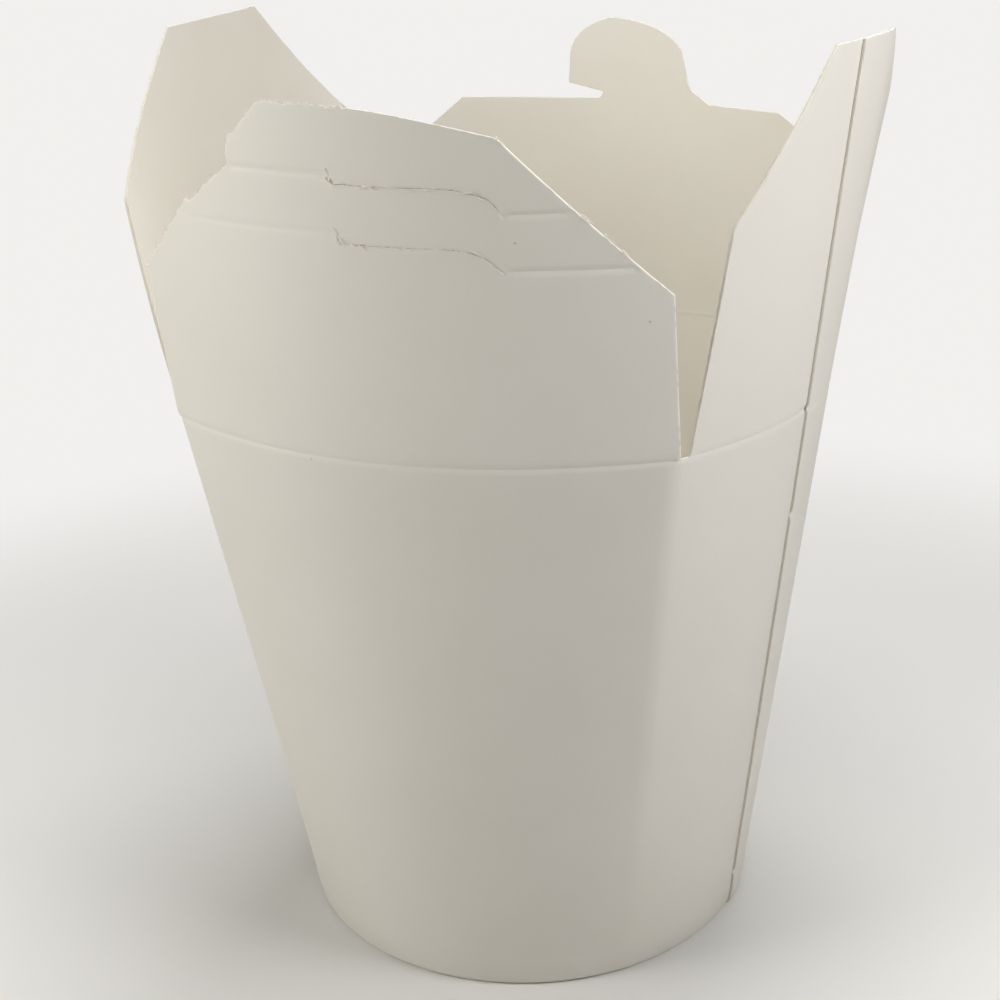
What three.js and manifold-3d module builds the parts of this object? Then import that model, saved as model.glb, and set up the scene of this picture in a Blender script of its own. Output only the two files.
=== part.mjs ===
import * as THREE from 'three';
import { mergeVertices } from 'three/addons/utils/BufferGeometryUtils.js';
import Module from 'manifold-3d';

// A takeaway box for noodles: a paperboard wall glued into a tube at one seam, which stands on a
// round base and opens into four bowed panels, each with a closing flap above the crease.
// Millimetres, +Z up. The origin is the middle of the open box, on the plane it stands on. The
// front panel faces -Y and the right panel, with the glued seam, faces +X.

// The board and the clearance between neighbouring pieces
const BOARD = 0.5;
const GAP = 0.3;

// The foot's centre is to the left of the origin, because the right flap leans out further
const FOOT_CENTRE_X = -3.5;

// The wall: a circle at the foot, a bowed square at the crease
const BASE_RADIUS = 41.8;
const CREASE_HALF_SIDE = 42.4;
const CREASE_HEIGHT = 101;
const CREASE_DIP = 0.6;
const FRONT_BOW = 11.8;
const SIDE_BOW = 12.9;

// The foot: the wall's lower edge is rolled in around the base's skirt
const HEM_HEIGHT = 4.5;
const SKIRT_CLEARANCE = 0.3;

// The glued seam: the free edge leans across the right panel, and the lap settles back after it
const SEAM_AT_FOOT = -0.11;
const SEAM_AT_CREASE = -9.8;
const SEAM_LEAN = 0.033;
const LAP_WIDTH = 12.5;
const SETTLE_WIDTH = 12;
const EDGE_STEP = 0.1;

// The flaps: at the crease the front and back ones end just past the corner, and the side ones
// stop short of it, which leaves a notch. They reach at most this far up.
const FRONT_END = 43;
const SIDE_END = 40.1;
const FLAP_REACH = 70;
const OVERHANG = 1.15;
const CUTTER_DEPTH = 100;
const SLIT_WIDTH = 0.5;
const SLIT_BEND = 7;
const SLIT_DROP = 0.5;

// How finely the curves are cut into straight pieces
const COLUMNS = 16;
const COLUMNS_BEFORE_SEAM = 6;
const COLUMNS_AFTER_LAP = 4;
const LAP_STEPS = 3;
const FLAP_ROWS = 4;
const CURVE_STEPS = 6;
const MERGE_DISTANCE = 0.0001;

const wasm = await Module();
wasm.setup();

// The four panels in turn round the box. A flap leans out as it rises: edgeLean at its two ends,
// middleLean in its middle, with twist more at its right end and less at its left. It also widens
// by spread. All four are per millimetre of rise.
const PANELS = [
  { name: 'front', bow: FRONT_BOW, edgeLean: 0.05, middleLean: 0.08, twist: 0, spread: 0.1 },
  { name: 'right', bow: SIDE_BOW, edgeLean: 0.141, middleLean: 0.121, twist: 0.109, spread: 0.15 },
  { name: 'back', bow: FRONT_BOW, edgeLean: 0.06, middleLean: 0.08, twist: 0, spread: 0.1 },
  { name: 'left', bow: SIDE_BOW, edgeLean: 0.2, middleLean: 0, twist: 0, spread: 0.15 },
];
const SEAM_PANEL = 'right';

// Joins consecutive rings of points with faces. Each four-sided face is split from its low corner
// at the first ring to its high corner at the second, so that both faces of a sheet are split
// alike. An endless sweep closes on its first ring. Any other one is capped at both ends round
// the ring's middle.
function sweptGeometry(rings, endless) {
  const size = rings[0].length;
  const points = rings.flat();
  const faces = [];
  const steps = endless ? rings.length : rings.length - 1;
  for (let i = 0; i < steps; i += 1) {
    const here = i * size;
    const there = ((i + 1) % rings.length) * size;
    for (let j = 0; j < size; j += 1) {
      const next = (j + 1) % size;
      if (rings[i][j].z < rings[i][next].z) {
        faces.push(here + j, here + next, there + next);
        faces.push(here + j, there + next, there + j);
      } else {
        faces.push(here + j, here + next, there + j);
        faces.push(here + next, there + next, there + j);
      }
    }
  }
  if (!endless) {
    const last = (rings.length - 1) * size;
    const startMiddle = points.push(middleOf(rings[0])) - 1;
    const endMiddle = points.push(middleOf(rings.at(-1))) - 1;
    for (let j = 0; j < size; j += 1) {
      const next = (j + 1) % size;
      faces.push(startMiddle, next, j);
      faces.push(endMiddle, last + j, last + next);
    }
  }
  const geometry = new THREE.BufferGeometry().setFromPoints(points);
  geometry.setIndex(faces);
  return geometry;
}

function middleOf(points) {
  const sum = new THREE.Vector3();
  points.forEach((point) => sum.add(point));
  return sum.divideScalar(points.length);
}

function toSolid(geometry) {
  const bare = geometry.clone();
  bare.deleteAttribute('normal');
  bare.deleteAttribute('uv');
  const merged = mergeVertices(bare, MERGE_DISTANCE);
  const vertProperties = new Float32Array(merged.attributes.position.array);
  const triVerts = new Uint32Array(merged.index.array);
  return new wasm.Manifold(new wasm.Mesh({ numProp: 3, vertProperties, triVerts }));
}

function toGeometry(solid) {
  const mesh = solid.getMesh();
  const geometry = new THREE.BufferGeometry();
  geometry.setAttribute('position', new THREE.BufferAttribute(mesh.vertProperties, 3));
  geometry.setIndex(new THREE.BufferAttribute(mesh.triVerts, 1));
  return geometry;
}

function paperMesh(name, geometry, colour) {
  const material = new THREE.MeshStandardMaterial({ color: colour, roughness: 0.6, metalness: 0 });
  const mesh = new THREE.Mesh(geometry, material);
  mesh.name = name;
  return mesh;
}

// A panel's surface is ruled by straight lines. Each is named by s, which runs from -1 at the
// panel's left corner to 1 at its right corner, seen from outside.
function footPoint(s) {
  const angle = (s * Math.PI) / 4;
  return new THREE.Vector3(BASE_RADIUS * Math.sin(angle), -BASE_RADIUS * Math.cos(angle), 0);
}

function flapPoint(panel, s, rise) {
  const bulge = 1 - s * s;
  const bow = panel.bow + (panel.middleLean - panel.edgeLean) * rise;
  return new THREE.Vector3(
    s * (CREASE_HALF_SIDE + panel.spread * rise),
    -(CREASE_HALF_SIDE + (panel.edgeLean + panel.twist * s) * rise + bow * bulge),
    CREASE_HEIGHT - CREASE_DIP * bulge + rise,
  );
}

// The stations across a panel from one end to the other, as offsets from the seam where it has
// one: proud is how far the outer face stands out there, and inset how deep the inner face lies.
function plainStations(from, to, count) {
  const stations = [];
  for (let i = 0; i <= count; i += 1) {
    stations.push({ s: from + ((to - from) * i) / count, proud: 0, inset: BOARD });
  }
  return stations;
}

function seamStations(from, to, seam, lengthPerS) {
  const lapEnd = seam + LAP_WIDTH / lengthPerS;
  const settled = lapEnd + SETTLE_WIDTH / lengthPerS;
  const step = EDGE_STEP / lengthPerS;
  const before = plainStations(from, seam, COLUMNS_BEFORE_SEAM);
  const lap = plainStations(seam + step, lapEnd, LAP_STEPS);
  lap.forEach((station) => {
    station.proud = BOARD;
  });
  const settling = plainStations(lapEnd + step, settled, LAP_STEPS);
  settling.forEach((station, i) => {
    station.proud = BOARD * (1 - i / LAP_STEPS);
    station.inset = (BOARD * i) / LAP_STEPS;
  });
  const after = plainStations(settled, to, COLUMNS_AFTER_LAP);
  return [...before, ...lap, ...settling, ...after.slice(1)];
}

// The straight rulings of the wall, round the whole box
function wallColumns() {
  const columns = [];
  PANELS.forEach((panel, turn) => {
    const seamS = SEAM_AT_CREASE / CREASE_HALF_SIDE;
    const footArc = (BASE_RADIUS * Math.PI) / 4;
    const seamed = panel.name === SEAM_PANEL;
    const top = seamed
      ? seamStations(-1, 1, seamS, CREASE_HALF_SIDE)
      : plainStations(-1, 1, COLUMNS);
    const foot = seamed ? seamStations(-1, 1, SEAM_AT_FOOT, footArc) : top;
    for (let i = 0; i < top.length - 1; i += 1) {
      const low = footPoint(foot[i].s);
      const high = flapPoint(panel, top[i].s, 0);
      turnBy(low, turn);
      turnBy(high, turn);
      columns.push({ low, high, proud: top[i].proud, inset: top[i].inset });
    }
  });
  return columns;
}

function turnBy(point, quarterTurns) {
  return point.applyAxisAngle(new THREE.Vector3(0, 0, 1), (quarterTurns * Math.PI) / 2);
}

// The wall's outer face at one height, and at each point the way inwards, mitred at corners
function wallLoop(columns, height) {
  const points = columns.map(({ low, high }) => low.clone().lerp(high, Math.min(height / high.z, 1)));
  const inwards = points.map((point, i) => {
    const before = points.at(i - 1);
    const after = points[(i + 1) % points.length];
    const first = new THREE.Vector3(before.y - point.y, point.x - before.x, 0).normalize();
    const second = new THREE.Vector3(point.y - after.y, after.x - point.x, 0).normalize();
    return first.clone().add(second).divideScalar(1 + first.dot(second));
  });
  return { points, inwards };
}

function insetLoop(columns, height, depthOf) {
  const { points, inwards } = wallLoop(columns, height);
  return points.map((point, i) => point.clone().addScaledVector(inwards[i], depthOf(columns[i])));
}

// The wall and its rolled foot: one closed section, carried round the box
function wallGeometry(columns) {
  const slot = BOARD + 2 * SKIRT_CLEARANCE;
  const outer = (column) => -column.proud;
  const inner = (column) => column.inset;
  const hemOuter = () => BOARD + slot;
  const hemInner = () => BOARD + slot + BOARD;
  const loops = [
    insetLoop(columns, 0, hemInner),
    insetLoop(columns, HEM_HEIGHT, hemInner),
    insetLoop(columns, HEM_HEIGHT, hemOuter),
    insetLoop(columns, BOARD, hemOuter),
    insetLoop(columns, BOARD, inner),
    insetLoop(columns, CREASE_HEIGHT, inner),
    insetLoop(columns, CREASE_HEIGHT, outer),
    insetLoop(columns, 0, outer),
  ];
  const sections = columns.map((column, i) => loops.map((loop) => loop[i]));
  return sweptGeometry(sections, true);
}

// The base: a flat disc whose skirt hangs in the rolled foot
function baseGeometry(columns) {
  const outer = () => BOARD + SKIRT_CLEARANCE;
  const inner = () => 2 * BOARD + SKIRT_CLEARANCE;
  const skirtFoot = BOARD + SKIRT_CLEARANCE;
  const discUnderside = HEM_HEIGHT + GAP;
  return sweptGeometry([
    insetLoop(columns, discUnderside, inner),
    insetLoop(columns, skirtFoot, inner),
    insetLoop(columns, skirtFoot, outer),
    insetLoop(columns, discUnderside + BOARD, outer),
  ], false);
}

// The sheet that a flap is cut from: the panel's surface carried on above the crease
function flapSheet(panel) {
  const stationsAt = (rise) => {
    const width = CREASE_HALF_SIDE + panel.spread * rise;
    const seam = (SEAM_AT_CREASE + SEAM_LEAN * rise) / width;
    return panel.name === SEAM_PANEL
      ? seamStations(-OVERHANG, OVERHANG, seam, width)
      : plainStations(-OVERHANG, OVERHANG, COLUMNS);
  };
  const rows = [];
  for (let row = 0; row <= FLAP_ROWS; row += 1) {
    const rise = GAP + ((FLAP_REACH - GAP) * row) / FLAP_ROWS;
    const width = CREASE_HALF_SIDE + panel.spread * rise;
    const bow = panel.bow + (panel.middleLean - panel.edgeLean) * rise;
    rows.push(stationsAt(rise).map(({ s, proud, inset }) => {
      const inwards = new THREE.Vector3(-2 * s * bow, width, 0).normalize();
      const face = flapPoint(panel, s, rise);
      return {
        outer: face.clone().addScaledVector(inwards, -proud),
        inner: face.clone().addScaledVector(inwards, inset),
      };
    }));
  }
  const downOuter = (i) => rows.map((row) => row[i].outer).reverse();
  const upInner = (i) => rows.map((row) => row[i].inner);
  const rings = rows[0].map((station, i) => [...downOuter(i), ...upInner(i)]);
  return sweptGeometry(rings, false);
}

// A cutter for the sheet: an outline across the panel and up from the crease, given depth
function cutter(shape) {
  const geometry = new THREE.ExtrudeGeometry(shape, {
    depth: CUTTER_DEPTH,
    bevelEnabled: false,
    curveSegments: CURVE_STEPS,
  });
  geometry.rotateX(Math.PI / 2);
  geometry.translate(0, 0, CREASE_HEIGHT);
  return toSolid(geometry);
}

function flapMesh(panel, turn, shape, slits, colour) {
  let solid = toSolid(flapSheet(panel)).intersect(cutter(shape));
  slits.forEach((slit) => {
    solid = solid.subtract(cutter(slit));
  });
  const mesh = paperMesh(`${panel.name}_flap`, toGeometry(solid), colour);
  mesh.rotation.z = (turn * Math.PI) / 2;
  return mesh;
}

// Outlines are points across the panel and up from the crease, and start well below it
const BELOW = -5;

// The front flap: slanting top, two slits for the tab and a chamfer on each side. The left
// chamfer has a small notch where the upper score runs out.
function frontOutline() {
  const shape = new THREE.Shape();
  shape.moveTo(FRONT_END, BELOW);
  shape.lineTo(42.8, 25);
  shape.lineTo(21.1, 47.4);
  shape.quadraticCurveTo(5, 51.3, -13.2, 52.5);
  shape.lineTo(-20.8, 46.5);
  shape.lineTo(-21.1, 43.4);
  shape.lineTo(-31.8, 36.6);
  shape.lineTo(-44.9, 25.3);
  shape.quadraticCurveTo(-44, 12, -FRONT_END, 0);
  shape.lineTo(-FRONT_END, BELOW);
  return shape;
}

// A slit that runs nearly level and bends down at its right end, as wide as the blade's cut
function slitOutline(startX, startRise, endX, endRise) {
  const half = SLIT_WIDTH / 2;
  const bendX = endX - SLIT_BEND;
  const bendRise = startRise - SLIT_DROP;
  const turnX = endX - SLIT_BEND / 3;
  const shape = new THREE.Shape();
  shape.moveTo(startX, startRise + half);
  shape.lineTo(bendX, bendRise + half);
  shape.quadraticCurveTo(turnX, bendRise + half, endX + half, endRise);
  shape.lineTo(endX - half, endRise);
  shape.quadraticCurveTo(turnX, bendRise - half, bendX, bendRise - half);
  shape.lineTo(startX, startRise - half);
  return shape;
}

// The back flap: a tab with a hook on one side, which goes into the front flap's slits
function backOutline() {
  const shape = new THREE.Shape();
  shape.moveTo(-FRONT_END, BELOW);
  shape.lineTo(-FRONT_END, 35.5);
  shape.lineTo(-36.6, 39.5);
  shape.lineTo(-21.6, 40.4);
  shape.lineTo(-17.8, 42.9);
  shape.quadraticCurveTo(-16.8, 44, -16.4, 46);
  shape.lineTo(-15.1, 50.8);
  shape.quadraticCurveTo(-11.5, 55.8, -0.6, 57.1);
  shape.quadraticCurveTo(7.8, 55.6, 8.3, 49.9);
  shape.lineTo(8.5, 44.6);
  shape.lineTo(1.3, 42.8);
  shape.lineTo(2.6, 41.5);
  shape.lineTo(30.2, 42.2);
  shape.lineTo(FRONT_END, 31);
  shape.lineTo(FRONT_END, BELOW);
  return shape;
}

// The side flaps are plain, each with a chamfer on both sides of a straight top
function rightOutline() {
  const shape = new THREE.Shape();
  shape.moveTo(-SIDE_END, BELOW);
  shape.lineTo(-SIDE_END, 0);
  shape.lineTo(-36.9, 32.8);
  shape.lineTo(-16.5, 56.3);
  shape.lineTo(8, 57.1);
  shape.lineTo(38, 33);
  shape.lineTo(SIDE_END, 0);
  shape.lineTo(SIDE_END, BELOW);
  return shape;
}

function leftOutline() {
  const shape = new THREE.Shape();
  shape.moveTo(SIDE_END, BELOW);
  shape.lineTo(SIDE_END, 0);
  shape.lineTo(38.5, 34.8);
  shape.lineTo(15.6, 60.4);
  shape.lineTo(-13.5, 62.4);
  shape.lineTo(-43.4, 39.5);
  shape.lineTo(-SIDE_END, 0);
  shape.lineTo(-SIDE_END, BELOW);
  return shape;
}

const tabSlits = [
  slitOutline(-2.8, 41.4, 21.3, 36.9),
  slitOutline(-2.9, 32.9, 21.3, 28.6),
];
const [front, right, back, left] = PANELS;
const columns = wallColumns();
const group = new THREE.Group();
group.position.x = FOOT_CENTRE_X;
group.add(paperMesh('wall', wallGeometry(columns), 0xcbc6bb));
group.add(paperMesh('base', baseGeometry(columns), 0xc4bdae));
group.add(flapMesh(front, 0, frontOutline(), tabSlits, 0xcfcabf));
group.add(flapMesh(right, 1, rightOutline(), [], 0xdedad2));
group.add(flapMesh(back, 2, backOutline(), [], 0xd3ccbf));
group.add(flapMesh(left, 3, leftOutline(), [], 0xd5d2c5));

export default group;
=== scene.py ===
import math

import bpy
import numpy as np
from mathutils import Matrix, Vector
from mathutils.geometry import delaunay_2d_cdt


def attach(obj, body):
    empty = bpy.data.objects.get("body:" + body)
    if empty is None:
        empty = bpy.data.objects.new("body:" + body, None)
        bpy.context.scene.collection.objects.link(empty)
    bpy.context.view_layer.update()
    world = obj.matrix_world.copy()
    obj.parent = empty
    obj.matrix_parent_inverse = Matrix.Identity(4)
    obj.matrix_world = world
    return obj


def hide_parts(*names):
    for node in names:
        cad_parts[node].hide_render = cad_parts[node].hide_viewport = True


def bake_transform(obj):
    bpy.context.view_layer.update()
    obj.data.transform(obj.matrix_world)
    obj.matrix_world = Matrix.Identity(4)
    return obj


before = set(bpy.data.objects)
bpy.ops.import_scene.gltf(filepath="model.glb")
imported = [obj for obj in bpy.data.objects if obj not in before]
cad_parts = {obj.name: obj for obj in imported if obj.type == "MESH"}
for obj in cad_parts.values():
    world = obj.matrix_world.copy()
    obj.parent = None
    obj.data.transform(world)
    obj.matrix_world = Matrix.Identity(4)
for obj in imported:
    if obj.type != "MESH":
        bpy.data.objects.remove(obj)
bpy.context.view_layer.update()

# The board: bleached wood pulp, calendered. Outside, a clay coat makes it an even warm white with a
# low satin gloss. Inside, the thin food coat is creamier and a little glossier. A cut shows the bare
# matt pulp: dull where the knife dragged on it, blotchy where it tore. Along the cut edges that face
# the lamps on the right, the pulp is painted whiter as a painted highlight.
MM = 0.001
PULP_CLOUD = 22 * MM
CLOUD_SHARE = 0.65
FIBRE = 0.45 * MM
GLOSS_SWING = 0.12
FLECK = "#8F8674"
FLECK_SPACING = 26 * MM
FLECK_SIZE = 0.11 * MM
FLECK_STRENGTH = 0.8
SPECK = "#A0978A"
SPECK_SIZE = 0.17 * MM
SPECK_STRENGTH = 0.6
SPECKS = [(19.2, -53.8, 134.2), (36, -46.1, 122.4), (-15.7, -53.2, 99.8)]


def linear(code):
    """An sRGB hex colour as the linear one that a shader takes."""
    parts = [int(code[i : i + 2], 16) / 255 for i in (1, 3, 5)]
    return (*(p / 12.92 if p <= 0.04045 else ((p + 0.055) / 1.055) ** 2.4 for p in parts), 1)


def add(tree, kind, inputs=(), **settings):
    """Adds a node with its settings. An input that is a node or a socket is linked to it."""
    node = tree.nodes.new(kind)
    for name, value in settings.items():
        setattr(node, name, value)
    live = [socket for socket in node.inputs if socket.enabled]
    given = inputs.items() if isinstance(inputs, dict) else enumerate(inputs)
    for key, value in given:
        socket = live[key] if isinstance(key, int) else next(s for s in live if s.name == key)
        if isinstance(value, bpy.types.Node):
            value = next(s for s in value.outputs if s.enabled)
        if isinstance(value, bpy.types.NodeSocket):
            tree.links.new(value, socket)
        else:
            socket.default_value = value
    return node


def new_material(name):
    material = bpy.data.materials.new(name)
    material.use_nodes = True
    material.node_tree.nodes.clear()
    return material, material.node_tree


def board_finish(name, colour, shade, roughness, bump, specks=()):
    """Paperboard: cloudy pulp, rare flecks, and fibres drawn about four times too coarse, to show."""
    material, tree = new_material(name)
    place = add(tree, "ShaderNodeTexCoord").outputs["Object"]
    cloud = add(tree, "ShaderNodeTexNoise", {"Vector": place, "Scale": 1 / PULP_CLOUD, "Detail": 3.0})
    fibres = add(tree, "ShaderNodeTexNoise", {
        "Vector": place, "Scale": 1 / FIBRE, "Detail": 4.0, "Roughness": 0.6,
    })
    clouds = add(tree, "ShaderNodeMath", [cloud, CLOUD_SHARE], operation="MULTIPLY")
    mixed = add(tree, "ShaderNodeMath", [fibres, 1 - CLOUD_SHARE, clouds], operation="MULTIPLY_ADD")
    share = add(tree, "ShaderNodeMapRange", {"Value": mixed, "From Min": 0.35, "From Max": 0.65})
    ground = add(tree, "ShaderNodeMix", {
        "Factor": share, "A": linear(colour), "B": linear(shade),
    }, data_type="RGBA")
    spots = add(tree, "ShaderNodeTexVoronoi", {"Vector": place, "Scale": 1 / FLECK_SPACING})
    near = add(tree, "ShaderNodeMapRange", {
        "Value": spots.outputs["Distance"], "From Min": FLECK_SIZE / FLECK_SPACING,
        "From Max": 2.2 * FLECK_SIZE / FLECK_SPACING, "To Min": FLECK_STRENGTH, "To Max": 0.0,
    })
    tint = add(tree, "ShaderNodeMix", {"Factor": near, "A": ground, "B": linear(FLECK)}, data_type="RGBA")
    for speck in specks:
        middle = tuple(n * MM for n in speck)
        away = add(tree, "ShaderNodeVectorMath", [place, middle], operation="DISTANCE").outputs["Value"]
        dirt = add(tree, "ShaderNodeMapRange", {
            "Value": away, "From Min": 0.5 * SPECK_SIZE, "From Max": 1.5 * SPECK_SIZE,
            "To Min": SPECK_STRENGTH, "To Max": 0.0,
        })
        tint = add(tree, "ShaderNodeMix", {"Factor": dirt, "A": tint, "B": linear(SPECK)}, data_type="RGBA")
    gloss = add(tree, "ShaderNodeMath", [
        fibres, GLOSS_SWING, roughness - GLOSS_SWING / 2,
    ], operation="MULTIPLY_ADD")
    relief = add(tree, "ShaderNodeBump", {"Height": fibres, "Strength": 1.0, "Distance": bump * MM})
    shader = add(tree, "ShaderNodeBsdfPrincipled", {
        "Base Color": tint, "Roughness": gloss, "Normal": relief, "IOR": 1.5,
    })
    add(tree, "ShaderNodeOutputMaterial", {"Surface": shader})
    return material


# Which finish a face has. Each finish has its colour, a shade of it, its roughness and how deep its
# fibres are in mm.
OUTSIDE, INSIDE, CUT, HIGHLIT, CRUSHED = range(5)
FINISHES = {
    "Outside finish": board_finish("clay_coated_paperboard", "#E6E2DA", "#E3DFD6", 0.55, 0.004, SPECKS),
    "Inside finish": board_finish("food_coated_paperboard", "#E5E1D8", "#E3DED3", 0.48, 0.003),
    "Cut finish": board_finish("cut_paperboard_edge", "#DDD8CC", "#D3CDC0", 0.85, 0.02),
    # The whiter cut finish is a painted highlight: paler pulp on cut edges that face the lamps on the right
    # and front right, and on the torn fibres.
    "Cut finish with painted highlight": board_finish("cut_paperboard_edge_painted_highlight", "#F3EFE6", "#EAE5D9", 0.85, 0.02),
    "Crushed finish": board_finish("crushed_paperboard_pulp", "#D6CFBF", "#A2967F", 0.85, 0.03),
}
FINISH_SOCKETS = {label: "Material" for label in FINISHES}

# The wall: one strip of 0.5 mm board, die cut and creased flat, then wrapped into a tube that is
# round at the foot and a bowed square at the crease. It is glued to itself at the seam on the right
# panel, where its far end lies on top, and its foot is rolled inwards and up, to hold the base.
BOARD = 0.5 * MM
FOOT_CENTRE = (-3.5 * MM, 0.0, 0.0)
FOOT_RADIUS = 41.8 * MM
HALF_SIDE = 42.4 * MM
CREASE_HEIGHT = 101 * MM
CREASE_DIP = 0.6 * MM
FRONT_BOW = 11.8 * MM
SIDE_BOW = 12.9 * MM
PANEL_WIDTH = 2 * HALF_SIDE
FOOT_QUARTER = FOOT_RADIUS * math.pi / 2

# A crease: a blunt rule presses a groove into the outside, which stands up inside as a lower bead
CREASE_DEPTH = 0.27 * MM
CREASE_WIDTH = 0.42 * MM
CREASE_OFFSETS = np.array([0, 0.3, 0.6, 0.9, 1.3]) * MM
BEAD_SHARE = 0.27

# The seam's place across its panel, from -1 at the front corner to 1 at the back one
SEAM_AT_FOOT = -0.11
SEAM_AT_CREASE = -9.8 * MM / HALF_SIDE
SEAM_BEVEL = 0.08 * MM
SEAM_BEVEL_WIDTH = 0.15 * MM
NICK_HEIGHT = 82 * MM
LOWER_NICK_HEIGHT = 7.5 * MM
NICK_HEIGHTS = (NICK_HEIGHT, LOWER_NICK_HEIGHT)
NICK_SIZE = 0.55 * MM
NICK_SHIFT = 0.25 * MM
LAP = 12.5 * MM
SETTLING = 12 * MM
GLUE = 0.02 * MM

# The corners are soft, and a light press down each of them fades out towards the foot
CORNER_SOFTNESS = 1.2 * MM
CORNER_DEPTH = 0.05 * MM
CORNER_FROM = 25 * MM
CORNER_FADE = 20 * MM

# The foot is rolled in and up to the hem's edge, and swells a little round the base's skirt
HEM_HEIGHT = 4.5 * MM
SKIRT_CLEARANCE = 0.3 * MM
HEM_BEND = 2.8 * MM
BAND_SWELL = 0.1 * MM
BAND_FOOT = (1 * MM, 3 * MM)
BAND_TOP = (4.6 * MM, 6 * MM)

# The blank's columns and the heights of its rows: below the crease, round both nicks, to the foot
EDGE_COLUMN = 5 * MM
PANEL_COLUMNS = 34
LAP_COLUMNS = 11
SETTLING_COLUMNS = 13
FAR_COLUMNS = 10
NEAR_COLUMNS = 16
ROLL_ROWS = 9
ROW_HEIGHTS = np.concatenate([
    CREASE_HEIGHT - CREASE_OFFSETS, CREASE_HEIGHT - np.array([2, 3.2, 5, 8, 11.5, 15]) * MM,
    NICK_HEIGHT + np.array([1, 0.6, 0.3, 0, -0.3, -0.6, -1]) * MM,
    np.linspace(NICK_HEIGHT - 4 * MM, 9.4 * MM, 21),
    LOWER_NICK_HEIGHT + np.array([0.9, 0.5, 0.2]) * MM,
    np.array([7.4, 7.1, 6.6, 6, 5.5, 5, 4.5, 3.8, 3, 2]) * MM,
])

RULED_SIZES = {
    "Foot radius": FOOT_RADIUS, "Half side": HALF_SIDE, "Crease height": CREASE_HEIGHT,
    "Crease dip": CREASE_DIP, "Front bow": FRONT_BOW, "Side bow": SIDE_BOW,
}


def groove(distance, depth=CREASE_DEPTH, width=CREASE_WIDTH):
    return depth * np.exp(-((distance / width) ** 2))


def smooth(low, high, value):
    share = np.clip((value - low) / (high - low), 0, 1)
    return share * share * (3 - 2 * share)


GEOMETRY = ("Geometry", "NodeSocketGeometry")


def new_tree(name, numbers, others, first=GEOMETRY, last=GEOMETRY):
    """A geometry tree with named inputs, the plain numbers first, and the sockets that feed it."""
    tree = bpy.data.node_groups.new(name, "GeometryNodeTree")
    tree.interface.new_socket(first[0], in_out="INPUT", socket_type=first[1])
    for label, kind in {**dict.fromkeys(numbers, "Float"), **others}.items():
        tree.interface.new_socket(label, in_out="INPUT", socket_type="NodeSocket" + kind)
    tree.interface.new_socket(last[0], in_out="OUTPUT", socket_type=last[1])
    sockets = tree.nodes.new("NodeGroupInput").outputs
    return tree, {socket.name: socket for socket in sockets if socket.name}


def finish_tree(tree, geometry, given):
    """Ends a tree: instances made real, then the board's finishes by the side of each face."""
    shown = add(tree, "GeometryNodeRealizeInstances", [geometry])
    side = add(tree, "GeometryNodeInputNamedAttribute", {"Name": "side"}, data_type="INT")
    for number, label in enumerate(FINISH_SOCKETS):
        chosen = add(tree, "FunctionNodeCompare", [side, number], data_type="INT", operation="EQUAL")
        shown = add(tree, "GeometryNodeSetMaterial", [shown, chosen, given[label]])
    add(tree, "NodeGroupOutput", [shown])


def formed(name, blank, tree, sizes):
    """Runs a flat blank through a tree and keeps the plain mesh that comes out."""
    piece = bpy.data.objects.new(name, blank)
    bpy.context.scene.collection.objects.link(piece)
    modifier = piece.modifiers.new("form", "NODES")
    modifier.node_group = tree
    for socket in tree.interface.items_tree:
        if socket.in_out == "INPUT" and socket.name in sizes:
            modifier[socket.identifier] = sizes[socket.name]
    graph = bpy.context.evaluated_depsgraph_get()
    mesh = bpy.data.meshes.new_from_object(piece.evaluated_get(graph))
    piece.modifiers.remove(modifier)
    piece.data = mesh
    mesh.name = name
    mesh.polygons.foreach_set("use_smooth", [True] * len(mesh.polygons))
    mesh.set_sharp_from_angle(angle=math.radians(40))
    return piece


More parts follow.
